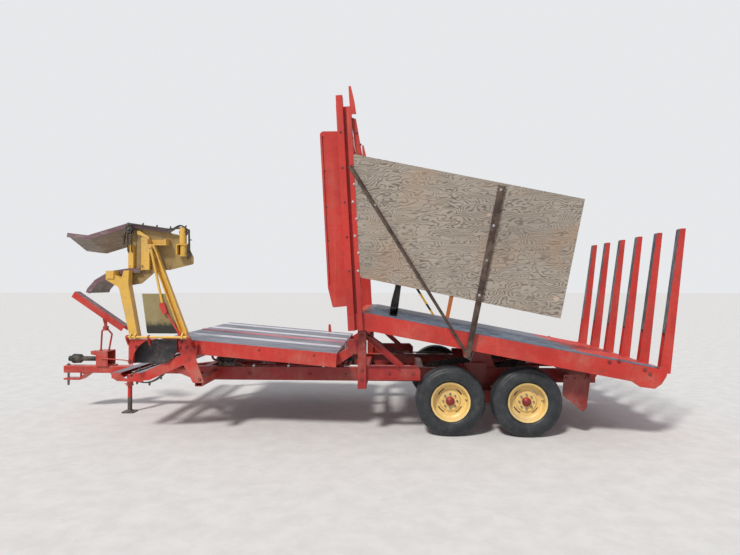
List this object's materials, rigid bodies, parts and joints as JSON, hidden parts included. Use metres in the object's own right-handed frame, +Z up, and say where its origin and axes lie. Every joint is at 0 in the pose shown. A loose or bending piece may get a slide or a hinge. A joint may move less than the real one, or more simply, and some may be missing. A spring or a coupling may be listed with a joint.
{
  "type": "self-loading hay wagon",
  "caption": "Tandem-wheeled towed hay wagon with a folding side loader, cross trough, tipping table and tipping load rack.",
  "frame": {"origin": "on the ground under the middle of the wagon's overall length and width", "axes": "+X to the rear, +Y to the wagon's right, +Z up"},
  "size_m": [7.1061, 2.478, 3.6403],
  "materials": {
    "red_paint": "worn gloss paint, faded and scratched to steel",
    "yellow_paint": "worn golden-yellow paint",
    "rim_paint": "dusty cream-yellow paint",
    "black_paint": "dull black paint",
    "worn_steel": "bale-worn blue-grey steel",
    "steel": "oiled steel",
    "rusty_steel": "brown rusty steel",
    "plywood": "grey weathered plywood",
    "tyre": "dusty rubber",
    "black_plastic": "dull black plastic",
    "cast": "painted casting, dirty"
  },
  "bodies": {
    "chassis": {"main_frame": "red_paint", "drawbar": "red_paint", "hitch_pin": "steel", "jack_tube": "red_paint", "walking_beams": "red_paint", "tandem_hangers": "red_paint", "table_posts": "red_paint", "rack_rests": "red_paint", "rear_plates": "red_paint", "table_brackets": "red_paint", "loader_mount": "red_paint", "front_guide_rail": "red_paint", "hose_stand": "red_paint", "driveline": "black_plastic", "gearbox": "cast"},
    "jack": {"jack_leg": "steel"},
    "wheel_front_left": {"tyre_front_left": "tyre", "rim_front_left": "rim_paint"},
    "wheel_front_right": {"tyre_front_right": "tyre", "rim_front_right": "rim_paint"},
    "wheel_rear_left": {"tyre_rear_left": "tyre", "rim_rear_left": "rim_paint"},
    "wheel_rear_right": {"tyre_rear_right": "tyre", "rim_rear_right": "rim_paint"},
    "table_one": {"first_table": "red_paint", "cross_chain": "steel"},
    "table_two": {"second_table": "red_paint", "table_slats": "worn_steel"},
    "load_rack": {"rack_frame": "red_paint", "rack_deck": "worn_steel", "tines": "red_paint", "portal": "red_paint", "side_guide_left": "red_paint", "side_guide_right": "red_paint", "plywood_left": "plywood", "plywood_right": "plywood", "side_stays": "rusty_steel"},
    "roller_rack": {"rolling_rack": "black_paint"},
    "loader": {"loader_frame": "yellow_paint", "loader_chute": "yellow_paint", "loader_guide_upper": "yellow_paint", "loader_guide_lower": "yellow_paint", "loader_drive": "yellow_paint", "loader_link": "yellow_paint", "loader_apron": "yellow_paint"},
    "rack_barrel": {"rack_lift_barrel": "black_paint"},
    "rack_rod": {"rack_lift_rod": "steel"},
    "table_barrel": {"table_lift_barrel": "black_paint"},
    "table_rod": {"table_lift_rod": "steel"}
  },
  "joints": [
    {"name": "jack_slide", "type": "slide", "parent": "chassis", "child": "jack", "axis": [0, 0, 1], "range_m": [0, 0.25]},
    {"name": "wheel_front_left_spin", "type": "hinge", "parent": "chassis", "child": "wheel_front_left", "pos_m": [1.24, -0.9, 0.3625], "axis": [0, 1, 0], "continuous": true},
    {"name": "wheel_front_right_spin", "type": "hinge", "parent": "chassis", "child": "wheel_front_right", "pos_m": [1.24, 0.9, 0.3625], "axis": [0, 1, 0], "continuous": true},
    {"name": "wheel_rear_left_spin", "type": "hinge", "parent": "chassis", "child": "wheel_rear_left", "pos_m": [2.034, -0.9, 0.3625], "axis": [0, 1, 0], "continuous": true},
    {"name": "wheel_rear_right_spin", "type": "hinge", "parent": "chassis", "child": "wheel_rear_right", "pos_m": [2.034, 0.9, 0.3625], "axis": [0, 1, 0], "continuous": true},
    {"name": "first_table_tip", "type": "hinge", "parent": "chassis", "child": "table_one", "pos_m": [-1.511, 0, 0.824], "axis": [0, 1, 0], "range_deg": [0, 90]},
    {"name": "second_table_tip", "type": "hinge", "parent": "chassis", "child": "table_two", "pos_m": [0.315, 0, 0.954], "axis": [0, 1, 0], "range_deg": [0, 82]},
    {"name": "load_rack_tip", "type": "hinge", "parent": "chassis", "child": "load_rack", "pos_m": [2.835, 0, 0.6], "axis": [0, 1, 0], "range_deg": [0, 79]},
    {"name": "rolling_rack_slide", "type": "slide", "parent": "load_rack", "child": "roller_rack", "axis": [0.9829, 0, -0.1844], "range_m": [0, 2.3]},
    {"name": "loader_fold", "type": "hinge", "parent": "chassis", "child": "loader", "pos_m": [-1.8, -1.24, 1.05], "axis": [1, 0, 0], "range_deg": [0, 120]},
    {"name": "rack_lift_swing", "type": "hinge", "parent": "chassis", "child": "rack_barrel", "pos_m": [1.04, 0, 0.52], "axis": [0, 1, 0], "range_deg": [-10.8, 0.5]},
    {"name": "rack_lift_stroke", "type": "slide", "parent": "rack_barrel", "child": "rack_rod", "axis": [0.9881, 0, 0.1537], "range_m": [-0.002, 0.6404]},
    {"name": "table_lift_swing", "type": "hinge", "parent": "chassis", "child": "table_barrel", "pos_m": [0.19, 0, 0.62], "axis": [0, 1, 0], "range_deg": [-0.5, 65.48]},
    {"name": "table_lift_stroke", "type": "slide", "parent": "table_barrel", "child": "table_rod", "axis": [-0.9489, 0, 0.3157], "range_m": [-0.002, 0.4112]}
  ],
  "couplings": [
    {"joint": "rack_lift_swing", "follows": "load_rack_tip", "ratio": -0.13044},
    {"joint": "rack_lift_stroke", "follows": "load_rack_tip", "m_per_rad": 0.46231},
    {"joint": "table_lift_swing", "follows": "second_table_tip", "ratio": 0.79245},
    {"joint": "table_lift_stroke", "follows": "second_table_tip", "m_per_rad": 0.28521}
  ]
}
